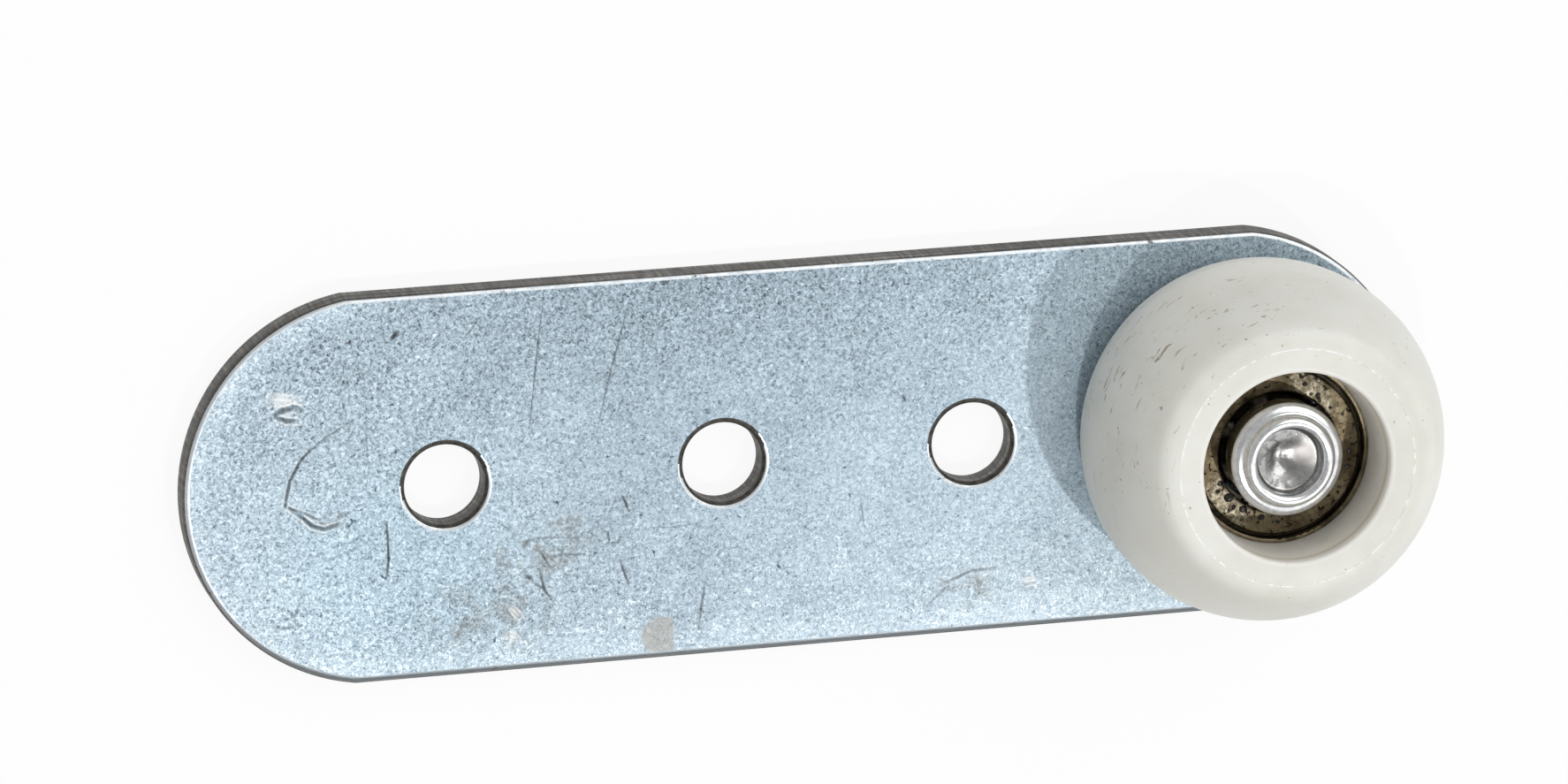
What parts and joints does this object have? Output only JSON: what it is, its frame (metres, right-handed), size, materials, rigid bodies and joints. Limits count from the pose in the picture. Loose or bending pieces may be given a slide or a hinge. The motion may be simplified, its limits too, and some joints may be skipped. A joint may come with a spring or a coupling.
{
  "type": "curtain track roller",
  "caption": "Plated steel fixing plate with rounded ends and fixing holes, carrying a domed nylon roller on a shielded ball bearing riveted near one end.",
  "frame": {"origin": "centre of the middle fixing hole, at the plate's back face", "axes": "+X along the plate towards the roller, +Z out of the plate's front along the roller's axle"},
  "size_m": [0.0805, 0.025, 0.0144],
  "materials": {
    "zinc_plate": "zinc plated, scuffed",
    "bright_rivet": "bright, worked smooth",
    "spacer_steel": "plain turned steel",
    "bearing_steel": "ground steel, greasy",
    "greasy_shield": "pressed steel under old grease",
    "cage_steel": "pressed steel",
    "ball_steel": "polished",
    "white_nylon": "moulded, satin, lightly soiled"
  },
  "bodies": {
    "bracket": {"backing_plate": "zinc_plate", "axle_rivet": "bright_rivet", "spacer_bush": "spacer_steel", "bearing_inner_ring": "bearing_steel"},
    "roller": {"roller_tyre": "white_nylon", "bearing_outer_ring": "bearing_steel", "front_shield": "greasy_shield", "rear_shield": "greasy_shield"},
    "ball_set": {"ball_cage": "cage_steel", "ball_1": "ball_steel", "ball_2": "ball_steel", "ball_3": "ball_steel", "ball_4": "ball_steel", "ball_5": "ball_steel", "ball_6": "ball_steel", "ball_7": "ball_steel"}
  },
  "joints": [
    {"name": "roller_spin", "type": "hinge", "parent": "bracket", "child": "roller", "pos_m": [0.03425, 0, 0.0077], "axis": [0, 0, 1], "continuous": true},
    {"name": "cage_spin", "type": "hinge", "parent": "bracket", "child": "ball_set", "pos_m": [0.03425, 0, 0.0077], "axis": [0, 0, 1], "continuous": true}
  ],
  "couplings": [
    {"joint": "cage_spin", "follows": "roller_spin", "ratio": 0.63529}
  ]
}
